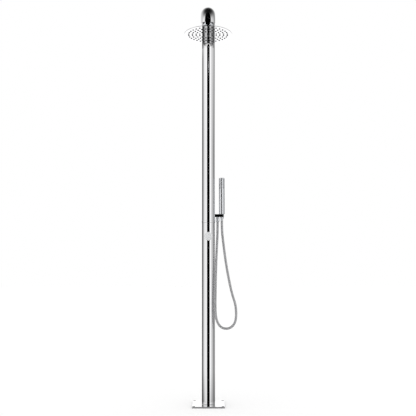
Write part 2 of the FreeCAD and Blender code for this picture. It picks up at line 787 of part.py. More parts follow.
# ---------------------------------------------------------------- hose outlet
collar_low = bar_bottom - s.outlet_collar_height
hose_nut_top = collar_low - 0.3
hose_nut_low = hose_nut_top - s.hose_nut_height
washer_low = hose_nut_low + s.hose_nut_floor
thread_low = washer_low + s.washer_thickness
way_r = s.hose_bore / 2
node(turned("outlet_nipple", [
    (way_r, thread_low),
    (s.outlet_thread / 2, thread_low),
    (s.outlet_thread / 2, collar_low),
    (s.outlet_collar / 2, collar_low),
    (s.outlet_collar / 2, bar_bottom),
    (s.outlet_screw / 2, bar_bottom),
    (s.outlet_screw / 2, bar_bottom + s.bar_thickness * 0.45),
    (way_r, bar_bottom + s.bar_thickness * 0.45),
], at=(outlet_x, 0, 0)), "outlet_nipple")
node(tube("hose_washer", s.outlet_thread / 2 - s.fit, way_r, s.washer_thickness,
          at=(outlet_x, 0, washer_low)), "hose_washer")
nut_r = s.hose_nut / 2
nut_bevel = 1.0
node(turned("hose_nut", [
    (way_r, hose_nut_low),
    (nut_r - 2.5, hose_nut_low),
    (nut_r, hose_nut_low + 3),
    (nut_r, hose_nut_top - nut_bevel),
    (nut_r - nut_bevel, hose_nut_top),
    (s.outlet_thread / 2 + s.running_fit, hose_nut_top),
    (s.outlet_thread / 2 + s.running_fit, washer_low),
    (way_r, washer_low),
], at=(outlet_x, 0, 0)), "hose_nut")

# ---------------------------------------------------------------- hose
# The hose leaves the nut straight down, leans forward past the post, turns round in the
# loop and comes up beside the post to the hand shower.  Each point is given from the
# lower end of the nut, and moves over with the socket by its share of the way there.
ferrule_low = socket_foot - s.ferrule_length
HOSE_POINTS = [
    (0.0, 0.0, -55.7),
    (-3.5, -8.5, -122.7),
    (-7.9, -21.5, -212.7),
    (-11.4, -30.0, -315.7),
    (-13.2, -35.0, -417.7),
    (-14.0, -37.0, -482.7),
    (-11.5, -37.0, -534.7),
    (-0.1, -35.0, -574.2),
    (21.9, -33.0, -598.7),
    (53.7, -31.0, -605.2),
    (82.9, -28.0, -591.2),
    (99.1, -25.0, -562.2),
    (101.6, -23.0, -522.7),
    (96.2, -20.0, -467.7),
    (77.0, -17.0, -408.7),
    (63.4, -13.0, -333.7),
    (51.5, -9.0, -261.7),
    (40.7, -5.5, -187.7),
    (31.7, -2.0, -112.7),
    (24.5, 0.0, -46.7),
]
hose_start = Vector(outlet_x.number, 0, hose_nut_low.number)
hose_end = Vector(socket_x.number, 0, ferrule_low.number)
hose_points = [hose_start]
for number, (across, forward, up) in enumerate(HOSE_POINTS, start=1):
    moved = (socket_x.number - outlet_x.number - 24.5) * number / len(HOSE_POINTS)
    hose_points.append(hose_start + Vector(across + moved, forward, up))
hose_points.append(hose_end)
hose_radii = []
for i in range(1, len(hose_points) - 1):
    before = hose_points[i - 1] - hose_points[i]
    after = hose_points[i + 1] - hose_points[i]
    half_turn = (math.pi - before.getAngle(after)) / 2
    radius = 0.45 * min(before.Length, after.Length) / math.tan(half_turn)
    hose_radii.append(radius)
print("hose radii", [round(radius) for radius in hose_radii])
hose_path = route(hose_points, hose_radii)
hose_solid = swept(hose_path, s.hose_diameter.number / 2)
hose_volume = math.pi * s.hose_diameter.number ** 2 / 4 * hose_path.Length
print("hose length %.1f, volume ratio %.5f" % (hose_path.Length, hose_solid.Volume / hose_volume))
hose = doc.addObject("Part::Feature", "hose_solid")
hose.Shape = hose_solid
hose.Placement = Placement()
node(hose, "shower_hose")

# ---------------------------------------------------------------- hose end in the hand shower
stem_r = s.ferrule_stem / 2
node(turned("hose_ferrule", [
    (0, ferrule_low),
    (s.ferrule / 2 - 0.6, ferrule_low),
    (s.ferrule / 2, ferrule_low + 0.6),
    (s.ferrule / 2, socket_foot - 0.9),
    (s.ferrule / 2 - 0.6, socket_foot - 0.3),
    (stem_r, socket_foot - 0.3),
    (stem_r, socket_foot + s.ferrule_stem_length),
    (0, socket_foot + s.ferrule_stem_length),
], at=(socket_x, 0, 0)), "hose_ferrule")

# ---------------------------------------------------------------- hand shower
handset_low = bar_top + s.handset_gap
cone_low_r = s.socket_bottom / 2 - s.cone_gap
cone_high_r = s.socket_top / 2 - s.cone_gap
plug_top = handset_low + s.plug_height
stem_clear = stem_r + s.running_fit
node(turned("hose_cone", [
    (stem_clear, socket_foot),
    (cone_low_r, socket_foot),
    (cone_high_r, bar_top),
    (cone_high_r, handset_low),
    (s.cone_screw / 2, handset_low),
    (s.cone_screw / 2, plug_top),
    (stem_clear, plug_top),
], at=(socket_x, 0, 0)), "hose_cone")
hand_r = s.handset_diameter / 2
hand_bore = hand_r - s.handset_wall
node(tube("handset_base_plug", hand_bore - s.seat_clearance, s.cone_screw / 2 + s.running_fit,
          s.plug_height, at=(socket_x, 0, handset_low)), "handset_base_plug")
handset_top = handset_low + s.handset_length
edge = s.handset_edge
shell = turned("handset_shell", [
    (hand_bore, handset_low),
    (hand_r - 0.6, handset_low),
    (hand_r, handset_low + 0.6),
    (hand_r, handset_top - edge),
    (hand_r - edge * 0.134, handset_top - edge * 0.5),
    (hand_r - edge * 0.5, handset_top - edge * 0.134),
    (hand_r - edge, handset_top),
    (0, handset_top),
    (0, handset_top - s.handset_wall),
    (hand_bore, handset_top - s.handset_wall),
], at=(socket_x, 0, 0))
window_half = s.spray_width / 2 + s.fit
spray_face = chord_height(hand_r, s.spray_width / 2) - s.spray_recess
window_top = handset_top - s.spray_from_top
window_low = window_top - s.spray_length
window = box("spray_window", window_half * 2, hand_r, s.spray_length,
             at=(socket_x - window_half, s.spray_thickness - spray_face - hand_r,
                 window_low))
node(cut("handset_tube", shell, window), "handset_tube")
insert_blank = box("spray_insert", s.spray_width, s.spray_thickness,
                   s.spray_length - 2 * s.fit,
                   at=(socket_x - s.spray_width / 2, -spray_face, window_low + s.fit))
node(insert_blank, "handset_spray_plate")

def frustum(radius_low, radius_high, z_low, z_high, x, y, sides=6):
    """Small tapered nozzle with flat sides, wide end at z_high."""
    rings = []
    for radius, level in ((radius_low, z_low), (radius_high, z_high)):
        points = []
        for i in range(sides):
            angle = 2 * math.pi * i / sides
            points.append(Vector(x + radius * math.cos(angle), y + radius * math.sin(angle),
                                 level))
        rings.append(points)
    faces = [Part.Face(Part.makePolygon(points + points[:1])) for points in rings]
    for i in range(sides):
        j = (i + 1) % sides
        side = [rings[0][i], rings[0][j], rings[1][j], rings[1][i], rings[0][i]]
        faces.append(Part.Face(Part.makePolygon(side)))
    return Part.Solid(Part.Shell(faces))


jet_rows = 9
jet_columns = 3
jet_middle = window_low + s.spray_length / 2
jets = []
for row in range(jet_rows):
    for column in range(jet_columns):
        jet = frustum(s.jet_base.number / 2, s.jet_tip.number / 2, 0, s.jet_proud.number, 0, 0)
        across = socket_x + s.jet_pitch * (column - 1)
        level = jet_middle + s.jet_pitch * (row - (jet_rows - 1) / 2)
        jet.Placement = Placement(Vector(across.number, -spray_face.number, level.number),
                                  TO_FRONT)
        jets.append(jet)
handset_jets = doc.addObject("Part::Feature", "handset_jets")
handset_jets.Shape = Part.makeCompound(jets)
handset_jets.Placement = Placement()
node(handset_jets, "handset_nozzles")

# ---------------------------------------------------------------- swivel and rain head
swivel_at = (0, -s.arm_reach, ball_z)
ring_in = s.ball_radius + s.ring_gap
ring_out = ring_in + s.ring_wall
cavity = ring_out + s.ring_gap
ring_zone = sphere("ring_zone", ring_out, at=swivel_at, low=0, high=30)
ring_hollow = sphere("ring_hollow", ring_in, at=swivel_at)
node(cut("swivel_ring", ring_zone, ring_hollow), "swivel_ring")

collar_r = s.collar_diameter / 2
mouth_r = waist_r + 3.5
hub_thread_r = s.hub_thread / 2
collar_solid = turned("collar", [
    (hub_thread_r + s.fit, -12),
    (collar_r, -12),
    (collar_r, 8),
    (s.collar_top_diameter / 2, 17),
    (s.collar_top_diameter / 2 - 0.5, 17),
    (mouth_r, 9.9),
    (mouth_r, -5),
    (hub_thread_r + s.fit, -5),
], at=swivel_at)
collar_cavity = sphere("collar_cavity", cavity, at=swivel_at)
node(cut("swivel_collar", collar_solid, collar_cavity), "swivel_collar")

head_r = s.head_diameter / 2
rim_top = head_low + s.head_rim_height
inner_head_r = head_r - s.head_rim_wall - s.fit
mat_low = head_low + s.spray_sheet
mat_top = mat_low + s.mat_thickness
seal_low = ball_z - s.ball_radius + 0.3
hub_top = ball_z - 5.3
back_solid = turned("head_back", [
    (s.stem_bore / 2, mat_top),
    (inner_head_r, mat_top),
    (inner_head_r, rim_top),
    (hub_thread_r + 4, rim_top),
    (hub_thread_r + 1, rim_top + 1),
    (hub_thread_r, rim_top + 4),
    (hub_thread_r, hub_top),
    (9.6, hub_top),
    (9.6, seal_low),
    (s.stem_bore / 2, seal_low),
], at=(0, -s.arm_reach, 0))
hub_cup = sphere("hub_cup", s.ball_radius + 1, at=swivel_at)
node(cut("head_back_plate", back_solid, hub_cup), "head_back_plate")
seal_blank = turned("seal_blank", [
    (6, seal_low),
    (9.5, seal_low),
    (9.5, seal_low + 3.2),
    (6, seal_low + 3.2),
], at=(0, -s.arm_reach, 0))
seal_seat = sphere("seal_seat", s.ball_radius + 0.2, at=swivel_at)
node(cut("ball_seat_seal", seal_blank, seal_seat), "ball_seat_seal")

# One nozzle in the middle, then rings of six times the ring's number, in ring pitches.
RING_STEPS = [0, 1.3, 2.3, 3.25, 4.25, 5.26]


def nozzle_places():
    places = []
    for ring in range(len(RING_STEPS)):
        step = RING_STEPS[ring]
        count = max(1, ring * 6)
        for i in range(count):
            angle = 2 * math.pi * (i + 0.5) / count
            places.append((step * math.cos(angle), step * math.sin(angle), angle))
    return places


pitch = s.nozzle_ring_pitch.number
reach = s.arm_reach.number
plate_body = turned("head_spray", [
    (0, head_low),
    (head_r - 0.6, head_low),
    (head_r, head_low + 0.6),
    (head_r, rim_top),
    (head_r - s.head_rim_wall, rim_top),
    (head_r - s.head_rim_wall, mat_low),
    (0, mat_low),
], at=(0, -s.arm_reach, 0))
doc.recompute()
spray_shape = plate_body.Shape.copy()
hole_r = s.nozzle_hole.number / 2
holes = []
nozzles = []
for x, y, angle in nozzle_places():
    x = x * pitch
    y = y * pitch - reach
    holes.append(frustum(hole_r, hole_r, head_low.number - 1, mat_low.number + 1, x, y))
    nozzles.append(frustum(s.nozzle_tip.number / 2, s.nozzle_base.number / 2,
                           head_low.number - s.nozzle_proud.number,
                           mat_low.number, x, y))
spray = doc.addObject("Part::Feature", "spray_plate")
spray.Shape = spray_shape.cut(Part.makeCompound(holes))
spray.Placement = Placement()
node(spray, "head_spray_plate")

mat_disc = Part.makeCylinder(inner_head_r.number, s.mat_thickness.number,
                             Vector(0, -reach, mat_low.number))
mat = doc.addObject("Part::Feature", "nozzle_mat")
mat.Shape = mat_disc.fuse(nozzles)
mat.Placement = Placement()
node(mat, "head_nozzle_mat")

# ---------------------------------------------------------------- check and write
doc.recompute()
for obj in doc.Objects:
    if "Invalid" in obj.State or "Error" in obj.State:
        raise RuntimeError("%s: %s" % (obj.Label, obj.State))
os.makedirs("parts", exist_ok=True)
for obj in nodes:
    shape = obj.Shape
    if shape.isNull() or not shape.isValid():
        raise RuntimeError(obj.Label + ": bad shape")
    if not shape.Solids:
        raise RuntimeError(obj.Label + ": no solid")
for obj in nodes:
    obj.Shape.exportStep("parts/%s.step" % obj.Label)
print(len(nodes), "nodes written")
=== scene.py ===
import json
import math

import bmesh
import bpy
from mathutils import Matrix, Vector


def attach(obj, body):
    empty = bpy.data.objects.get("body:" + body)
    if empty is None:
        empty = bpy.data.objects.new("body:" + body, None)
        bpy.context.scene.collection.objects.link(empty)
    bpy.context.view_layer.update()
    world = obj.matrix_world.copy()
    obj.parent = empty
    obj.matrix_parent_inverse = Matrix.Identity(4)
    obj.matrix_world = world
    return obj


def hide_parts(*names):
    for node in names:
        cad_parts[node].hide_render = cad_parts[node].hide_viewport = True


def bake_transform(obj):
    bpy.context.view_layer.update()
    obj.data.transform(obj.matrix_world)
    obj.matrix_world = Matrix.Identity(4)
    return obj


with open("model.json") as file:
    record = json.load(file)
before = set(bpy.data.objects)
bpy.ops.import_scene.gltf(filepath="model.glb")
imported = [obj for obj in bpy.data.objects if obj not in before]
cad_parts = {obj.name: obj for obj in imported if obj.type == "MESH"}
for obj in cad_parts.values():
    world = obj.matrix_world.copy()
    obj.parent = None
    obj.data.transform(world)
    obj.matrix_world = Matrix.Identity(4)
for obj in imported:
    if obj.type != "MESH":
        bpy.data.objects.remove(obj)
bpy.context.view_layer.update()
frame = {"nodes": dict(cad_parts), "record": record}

MM = 0.001

# Sizes of the shower post that several pieces share, in millimetres.
POST_R = 38.05
BORE_R = 36.05
SLEEVE_R = 36.0
PLATE_TOP = 8.0
JOINT_Z = 1023.0
BAND_TOP = 1035.0
STRAIGHT_TOP = 2048.5
BEND_R = 65.0
ARM_REACH = 420.0
LEG_END = 2041.0
BALL_Z = 2018.0
NECK_HOLE_R = 8.05
KNOB_Z = 943.0
OUTLET_X = 52.5
SOCKET_X = 77.0

# Where the pieces that aren't on the post's axis have theirs.
AT_ARM_END = (0, -ARM_REACH, 0)
AT_BALL = (0, -ARM_REACH, BALL_Z)
AT_KNOB = (0, 0, KNOB_Z)
AT_OUTLET = (OUTLET_X, 0, 0)
AT_SOCKET = (SOCKET_X, 0, 0)

# Steps round a turned piece.
TURNED_STEPS = 96
POST_STEPS = 128
HEAD_STEPS = 180
MAT_STEPS = 48
HOSE_STEPS = 16
NOZZLE_STEPS = 12

# The camera, found from the edges of the plate, post and head; metres and degrees.
CAMERA_AT = (0.0210, -3.7220, 0.7420)
CAMERA_TILT = 95.638
CAMERA_TURN = 0.366
LENS_MM = 56.08
SENSOR_MM = 36.0
SEEN_TO = 200.0


# ------------------------------------------------------------------ making pieces
def placed(name, data):
    """A new object, linked into the scene."""
    made = bpy.data.objects.new(name, data)
    bpy.context.scene.collection.objects.link(made)
    return made


def object_from(bm, name, finishes, smooth=True):
    """Turns a bmesh in metres into an object with its finishes."""
    for face in bm.faces:
        face.smooth = smooth
    mesh = bpy.data.meshes.new(name)
    bm.to_mesh(mesh)
    bm.free()
    for finish in finishes:
        mesh.materials.append(finish)
    return placed(name, mesh)


def piece_from(bm, name, material, body, slot, replaces=(), second=()):
    """Finishes a bmesh in millimetres as one piece; faces may use the second finishes."""
    sharp = math.radians(33)
    bmesh.ops.scale(bm, vec=(MM, MM, MM), verts=bm.verts)
    for edge in bm.edges:
        if len(edge.link_faces) == 2 and edge.calc_face_angle(0.0) > sharp:
            edge.smooth = False
    piece = object_from(bm, name, (material, *second))
    even = piece.modifiers.new("even normals", "WEIGHTED_NORMAL")
    even.keep_sharp = True
    even.weight = 90
    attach(piece, body)
    if replaces:
        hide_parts(*replaces)


UPRIGHT = Matrix.Identity(4)
UP_TO_FRONT = Matrix.Rotation(math.radians(90), 4, "X")
DOWN_TO_FRONT = Matrix.Rotation(math.radians(-90), 4, "X")


def spun(profile, rounds=(), steps=TURNED_STEPS, closed=True, at=(0, 0, 0), turn=UPRIGHT):
    """A bmesh spun about Z from (radius, height) corners; rounds: (corner numbers, radius)."""
    bm = bmesh.new()
    corners = [bm.verts.new((r, 0, z)) for r, z in profile]
    for first, second in zip(corners, corners[1:]):
        bm.edges.new((first, second))
    if closed:
        bm.edges.new((corners[-1], corners[0]))
    for numbers, radius in rounds:
        bmesh.ops.bevel(bm, geom=[corners[n] for n in numbers], offset=radius,
                        offset_type="OFFSET", segments=4, profile=0.5,
                        affect="VERTICES", material=-1)
    bmesh.ops.spin(bm, geom=bm.verts[:] + bm.edges[:], cent=(0, 0, 0), axis=(0, 0, 1),
                   angle=2 * math.pi, steps=steps, use_merge=True)
    bmesh.ops.remove_doubles(bm, verts=bm.verts, dist=0.0005)
    bmesh.ops.recalc_face_normals(bm, faces=bm.faces)
    bmesh.ops.transform(bm, matrix=Matrix.Translation(at) @ turn, verts=bm.verts)
    return bm


def turned(name, look, nodes, profile, rounds=(), **how):
    """One turned piece; its look is a material, a body and a slot."""
    piece_from(spun(profile, rounds, **how), name, *look, nodes)


def rounded_edges(bm, edges, radius, segments):
    bmesh.ops.bevel(bm, geom=edges, offset=radius, offset_type="OFFSET", segments=segments,
                    profile=0.5, affect="EDGES", material=-1)


def joined(parts):
    """All the bmeshes in one."""
    whole = bmesh.new()
    for part in parts:
        mesh = bpy.data.meshes.new("joining")
        part.to_mesh(mesh)
        part.free()
        whole.from_mesh(mesh)
        bpy.data.meshes.remove(mesh)
    return whole


def merged_copy(node):
    """A copy of a CAD node's mesh in millimetres, merged, with its flat faces whole."""
    bm = bmesh.new()
    bm.from_mesh(frame["nodes"][node].data)
    bmesh.ops.scale(bm, vec=(1 / MM, 1 / MM, 1 / MM), verts=bm.verts)
    bmesh.ops.remove_doubles(bm, verts=bm.verts, dist=0.002)
    bmesh.ops.dissolve_limit(bm, angle_limit=math.radians(0.5), verts=bm.verts,
                             edges=bm.edges, delimit=set())
    return bm


# ------------------------------------------------------------------ materials
def linear(hex_colour):
    """The shader's linear colour for an sRGB hex colour."""
    channels = []
    for start in (1, 3, 5):
        value = int(hex_colour[start:start + 2], 16) / 255
        if value <= 0.04045:
            channels.append(value / 12.92)
        else:
            channels.append(((value + 0.055) / 1.055) ** 2.4)
    return (*channels, 1.0)


def add(tree, kind, settings=None, links=None):
    """Adds one node, sets its properties and sockets, and links its inputs."""
    node = tree.nodes.new(kind)
    for key, value in (settings or {}).items():
        if isinstance(key, str) and hasattr(node, key):
            setattr(node, key, value)
        else:
            node.inputs[key].default_value = value
    for key, source in (links or {}).items():
        tree.links.new(source, node.inputs[key])
    return node


def new_finish(name):
    """A new material and its empty tree."""
    material = bpy.data.materials.new(name)
    material.use_nodes = True
    material.node_tree.nodes.clear()
    return material, material.node_tree


def surface(tree, shader, kind="ShaderNodeOutputMaterial"):
    """Ends a tree with its output."""
    add(tree, kind, None, {"Surface": shader.outputs[0]})


def object_coords(tree):
    return add(tree, "ShaderNodeTexCoord").outputs["Object"]


def noise(tree, coords, size_mm, detail):
    """Grey noise with features of about this size."""
    return add(tree, "ShaderNodeTexNoise", {"Scale": 1000 / size_mm, "Detail": detail},
               {"Vector": coords}).outputs["Fac"]


def mapped(tree, value, source, target=(0.0, 1.0)):
    """A value carried from the source range to the target range."""
    return add(tree, "ShaderNodeMapRange", {"From Min": source[0], "From Max": source[1],
                                            "To Min": target[0], "To Max": target[1]},
               {"Value": value}).outputs["Result"]


def bumped(tree, height, strength, depth_mm):
    return add(tree, "ShaderNodeBump", {"Strength": strength, "Distance": depth_mm * MM},
               {"Height": height}).outputs["Normal"]


def polished_metal(name, colour, roughness, ripple_mm, ripple_height_mm,
                   haze_mm=40.0, metallic=1.0):
    """Polished metal: a hazy roughness and a slow ripple left by the polishing wheel."""
    material, tree = new_finish(name)
    coords = object_coords(tree)
    haze = noise(tree, coords, haze_mm, 3.0)
    ripple = noise(tree, coords, ripple_mm, 1.0)
    surface(tree, add(tree, "ShaderNodeBsdfPrincipled",
                      {"Base Color": linear(colour), "Metallic": metallic},
                      {"Roughness": mapped(tree, haze, (0.35, 0.65), roughness),
                       "Normal": bumped(tree, ripple, 1.0, ripple_height_mm)}))
    return material


def brushed_metal(name, colour, roughness, line_mm, line_height_mm, stretch=(1, 1, 30)):
    """Metal with fine brushed lines: noise drawn out along the longest stretch."""
    material, tree = new_finish(name)
    drawn = add(tree, "ShaderNodeMapping", {"Scale": tuple(1.0 / s for s in stretch)},
                {"Vector": object_coords(tree)})
    lines = noise(tree, drawn.outputs["Vector"], line_mm, 2.0)
    span = (roughness * 0.8, roughness * 1.25)
    surface(tree, add(tree, "ShaderNodeBsdfPrincipled",
                      {"Base Color": linear(colour), "Metallic": 1.0},
                      {"Roughness": mapped(tree, lines, (0.3, 0.7), span),
                       "Normal": bumped(tree, lines, 0.6, line_height_mm)}))
    return material


def moulded(name, colour, dark, roughness, grain_mm, grain_height_mm, gloss=0.5):
    """Rubber, plastic or painted black shade, with a fine grain and slight cloudiness."""
    material, tree = new_finish(name)
    coords = object_coords(tree)
    cloud = noise(tree, coords, 12.0, 2.0)
    tint = add(tree, "ShaderNodeMix", {"data_type": "RGBA", 6: linear(dark), 7: linear(colour)},
               {0: cloud})
    grain = noise(tree, coords, grain_mm, 2.0)
    surface(tree, add(tree, "ShaderNodeBsdfPrincipled",
                      {"Roughness": roughness, "Specular IOR Level": gloss},
                      {"Base Color": tint.outputs[2],
                       "Normal": bumped(tree, grain, 0.5, grain_height_mm)}))
    return material


# Mirror-polished stainless tube: nearly perfect reflection, a slow ripple from the wheel.
mirror_stainless = polished_metal("mirror_polished_stainless", "#E4E4E5", (0.03, 0.06),
                                  90.0, 0.02)
# Chrome plate on turned brass: a little bluer than the steel, its ripple finer.
chrome_plate = polished_metal("bright_chrome_plate", "#E0E2E5", (0.03, 0.07), 25.0, 0.004)
# Hand shower: chrome on drawn brass, buffed less, so its reflections are softer.
soft_chrome = polished_metal("buffed_chrome_plate", "#DDDFE2", (0.24, 0.29), 25.0, 0.004)
# Knob: satin chrome, bead-blasted before plating.
satin_chrome = polished_metal("satin_chrome_plate", "#F0F1F2", (0.66, 0.72), 12.0, 0.004,
                              metallic=0.4)
# Drawn pipes and small screws: satin stainless with lines along their length.
satin_stainless = brushed_metal("drawn_stainless", "#C4C4C6", 0.30, 0.4, 0.01)
# Interlocked hose: rolled stainless strip, each turn a soft satin band.
hose_metal = polished_metal("rolled_hose_strip", "#CFCFD1", (0.22, 0.30), 8.0, 0.01, 6.0)
# Ground edges of plates: satin, with short lines across the edge.
ground_edge = brushed_metal("ground_stainless_edge", "#C6C6C8", 0.42, 0.5, 0.01, (1, 1, 12))
# Bores and chamfers of the anchor holes: painted shade, a dull black that stands in for the
# shadow inside the holes.
hole_shade_black = moulded("painted_shade_in_holes", "#121111", "#0A0909", 0.90, 0.6, 0.02, gloss=0.05)
# Plain machined brass inside the post, its lines round the turned faces.
machined_brass = brushed_metal("machined_brass", "#D9B36A", 0.26, 0.5, 0.01, (30, 30, 1))
# Silicone nozzles: dark grey, dull.
nozzle_silicone = moulded("grey_silicone", "#38393C", "#2E3032", 0.60, 0.5, 0.01, gloss=0.15)
# Seals: black nitrile rubber.
seal_rubber = moulded("black_nitrile_rubber", "#16161A", "#0C0C0E", 0.55, 0.6, 0.01)
# Sliding ring: white acetal.
acetal = moulded("white_acetal", "#E6E6E2", "#DCDCD8", 0.35, 0.5, 0.005)
# Cartridge: grey glass-filled nylon.
nylon = moulded("grey_glass_filled_nylon", "#565B63", "#484C54", 0.45, 0.5, 0.01)
# Spray insert: light grey glossy ABS.
gloss_abs = moulded("light_grey_abs", "#C9CBCE", "#BFC1C4", 0.16, 1.5, 0.002)

SLOT_FINISH = {
    "mirror_stainless": mirror_stainless,
    "chromed_brass": chrome_plate,
    "raw_brass": machined_brass,
    "satin_stainless": satin_stainless,
    "hose_metal": hose_metal,
    "nozzle_silicone": nozzle_silicone,
    "seal_rubber": seal_rubber,
    "friction_plastic": acetal,
    "cartridge_plastic": nylon,
    "spray_insert_plastic": gloss_abs,
}
for subpart in frame["record"]["subparts"]:
    cad_node = frame["nodes"][subpart["node"]]
    node_finish = SLOT_FINISH[subpart["material_slot"]]
    if cad_node.material_slots:
        cad_node.material_slots[0].material = node_finish
    else:
        cad_node.data.materials.append(node_finish)

# Looks: material, body and slot.
mirror = (mirror_stainless, "shower_post", "mirror_stainless")
chrome = (chrome_plate, "shower_post", "chromed_brass")
head_steel = (mirror_stainless, "rain_head", "mirror_stainless")
head_chrome = (chrome_plate, "rain_head", "chromed_brass")
head_rubber = (nozzle_silicone, "rain_head", "nozzle_silicone")
knob_chrome = (satin_chrome, "control_knob", "chromed_brass")
hose_end_chrome = (chrome_plate, "hose_end", "chromed_brass")
hand_chrome = (soft_chrome, "handset", "chromed_brass")
hand_plastic = (gloss_abs, "handset", "spray_insert_plastic")
hand_rubber = (nozzle_silicone, "handset", "nozzle_silicone")

# ------------------------------------------------------------------ hose
# The hose's route in millimetres: the CAD model's, its loop moved a little to suit the view.
HOSE_ROUTE = [
    (52.5, 0.0, 1027.7),
    (52.5, 0.0, 972.0),
    (49.0, -8.5, 905.0),
    (44.6, -21.5, 815.0),
    (41.1, -30.0, 712.0),
    (39.3, -35.0, 610.0),
    (38.5, -37.0, 545.0),
    (41.0, -37.0, 493.0),
    (52.4, -35.0, 453.5),
    (74.4, -33.0, 429.0),
    (106.2, -31.0, 422.5),
    (135.4, -28.0, 436.5),
    (152.6, -25.0, 465.5),
    (157.1, -23.0, 505.0),
    (153.2, -20.0, 560.0),
    (133.0, -17.0, 619.0),
    (117.2, -13.0, 694.0),
    (104.0, -9.0, 766.0),
    (93.2, -5.5, 840.0),
    (84.2, -2.0, 915.0),
    (77.0, 0.0, 981.0),
    (77.0, 0.0, 1035.0),
]
HOSE_D = 14.0
RIB_PITCH = 3.0
# How far each ring of one rib lies inside the hose's outside, the groove first.
RIB_DEPTHS = (0.75, 0.1, 0.0, 0.1)


def smooth_line(points):
    """Points along the NURBS line of a route, in metres."""
    curve = bpy.data.curves.new("hose_line", "CURVE")
    curve.dimensions = "3D"
    curve.resolution_u = 24
    spline = curve.splines.new("NURBS")
    spline.points.add(len(points) - 1)
    for control, point in zip(spline.points, points):
        control.co = (*[value * MM for value in point], 1.0)
    spline.order_u = 3
    spline.use_endpoint_u = True
    holder = placed("hose_line", curve)
    bpy.context.view_layer.update()
    mesh = bpy.data.meshes.new_from_object(holder)
    line = [vert.co.copy() for vert in mesh.vertices]
    bpy.data.objects.remove(holder)
    bpy.data.meshes.remove(mesh)
    return line


def stations(line, spacing):
    """Evenly spaced points along a line, and the line's length."""
    lengths = [0.0]
    for a, b in zip(line, line[1:]):
        lengths.append(lengths[-1] + (b - a).length)
    count = round(lengths[-1] / spacing)
    spots = []
    k = 0
    for i in range(count + 1):
        want = lengths[-1] * i / count
        while k < len(line) - 2 and lengths[k + 1] < want:
            k += 1
        share = (want - lengths[k]) / max(lengths[k + 1] - lengths[k], 1e-9)
        spots.append(line[k].lerp(line[k + 1], share))
    return spots, lengths[-1]


def ribbed_tube(name, spots):
    """A closed tube turned straight, then laid along the spots; one ring for each spot."""
    last = len(spots) - 1
    rings = [(HOSE_D / 2 - RIB_DEPTHS[i % len(RIB_DEPTHS)], i) for i in range(last + 1)]
    bm = spun([(0, 0)] + rings + [(0, last)], steps=HOSE_STEPS, closed=False)
    across = Vector((0, 1, 0))
    places = []
    for i, spot in enumerate(spots):
        ahead = (spots[min(i + 1, last)] - spots[max(i - 1, 0)]).normalized()
        across = (across - ahead * across.dot(ahead)).normalized()
        places.append((spot, across, ahead.cross(across)))
    for vert in bm.verts:
        spot, first, second = places[round(vert.co.z)]
        vert.co = spot + (first * vert.co.x + second * vert.co.y) * MM
    return object_from(bm, name, (hose_metal,))


def make_hose():
    """Two lengths of one hose: the falling one goes on the post, the rising one is left where
    it lies, on no body.
    """
    rings_per_rib = len(RIB_DEPTHS)
    spots, length = stations(smooth_line(HOSE_ROUTE), RIB_PITCH * MM / rings_per_rib)
    lowest = min(range(len(spots)), key=lambda i: spots[i].z)
    lowest -= lowest % rings_per_rib
    falling = ribbed_tube("hose_falling", spots[:lowest + 1])
    rising = ribbed_tube("hose_rising", spots[lowest:])
    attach(falling, "shower_post")
    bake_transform(rising)
    part = lowest / (len(spots) - 1)
    for piece, run, share in ((falling, spots[:lowest + 1], part),
                              (rising, spots[lowest:], 1 - part)):
        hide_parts("shower_hose")


make_hose()

# ------------------------------------------------------------------ post and arm
turned("post_lower_half", mirror, ["lower_post"],
       [(BORE_R, PLATE_TOP), (POST_R, PLATE_TOP), (POST_R, JOINT_Z), (BORE_R, JOINT_Z)],
       [((2,), 0.5)], steps=POST_STEPS)
turned("joint_band", mirror, ["joint_sleeve"],
       [(33.5, 967), (SLEEVE_R, 967), (SLEEVE_R, JOINT_Z), (39.05, JOINT_Z),
        (39.05, BAND_TOP), (SLEEVE_R, BAND_TOP), (SLEEVE_R, 1091), (33.5, 1091)],
       [((3, 4), 0.8)], steps=POST_STEPS)


def arm_tube_mesh():
    """Upper post, rear bend, arm and front bend: one tube, welded flush and polished."""
    bend_steps = 32
    bm = bmesh.new()
    circle = bmesh.ops.create_circle(bm, segments=POST_STEPS, radius=POST_R)
    bmesh.ops.translate(bm, vec=(0, 0, BAND_TOP), verts=circle["verts"])

    def drawn_out(edges):
        """Extrudes the open end; gives its new corners and edges."""
        moved = bmesh.ops.extrude_edge_only(bm, edges=edges)["geom"]
        verts = [g for g in moved if isinstance(g, bmesh.types.BMVert)]
        inside = set(verts)
        return verts, [g for g in moved if isinstance(g, bmesh.types.BMEdge)
                       and inside.issuperset(g.verts)]

    def straight(edges, vector):
        verts, edges = drawn_out(edges)
        bmesh.ops.translate(bm, vec=vector, verts=verts)
        return edges

    def bend(edges, centre):
        turn = Matrix.Rotation(math.radians(90 / bend_steps), 3, "X")
        for _ in range(bend_steps):
            verts, edges = drawn_out(edges)
            bmesh.ops.rotate(bm, cent=centre, matrix=turn, verts=verts)
        return edges

    end = straight(bm.edges[:], (0, 0, STRAIGHT_TOP - BAND_TOP))
    end = bend(end, (0, -BEND_R, STRAIGHT_TOP))
    end = straight(end, (0, 2 * BEND_R - ARM_REACH, 0))
    end = bend(end, (0, BEND_R - ARM_REACH, STRAIGHT_TOP))
    straight(end, (0, 0, LEG_END - STRAIGHT_TOP))
    bmesh.ops.recalc_face_normals(bm, faces=bm.faces)
    # The first face is on the post, whose axis is Z, so it has to face away from that.
    first = next(iter(bm.faces))
    centre = first.calc_center_median()
    if first.normal.dot(Vector((centre.x, centre.y, 0))) < 0:
        bmesh.ops.reverse_faces(bm, faces=bm.faces)
    bmesh.ops.solidify(bm, geom=bm.faces[:], thickness=POST_R - BORE_R)
    return bm


piece_from(arm_tube_mesh(), "post_upper_half_and_arm", *mirror,
           ["upper_post", "rear_elbow", "arm_tube", "front_elbow"])


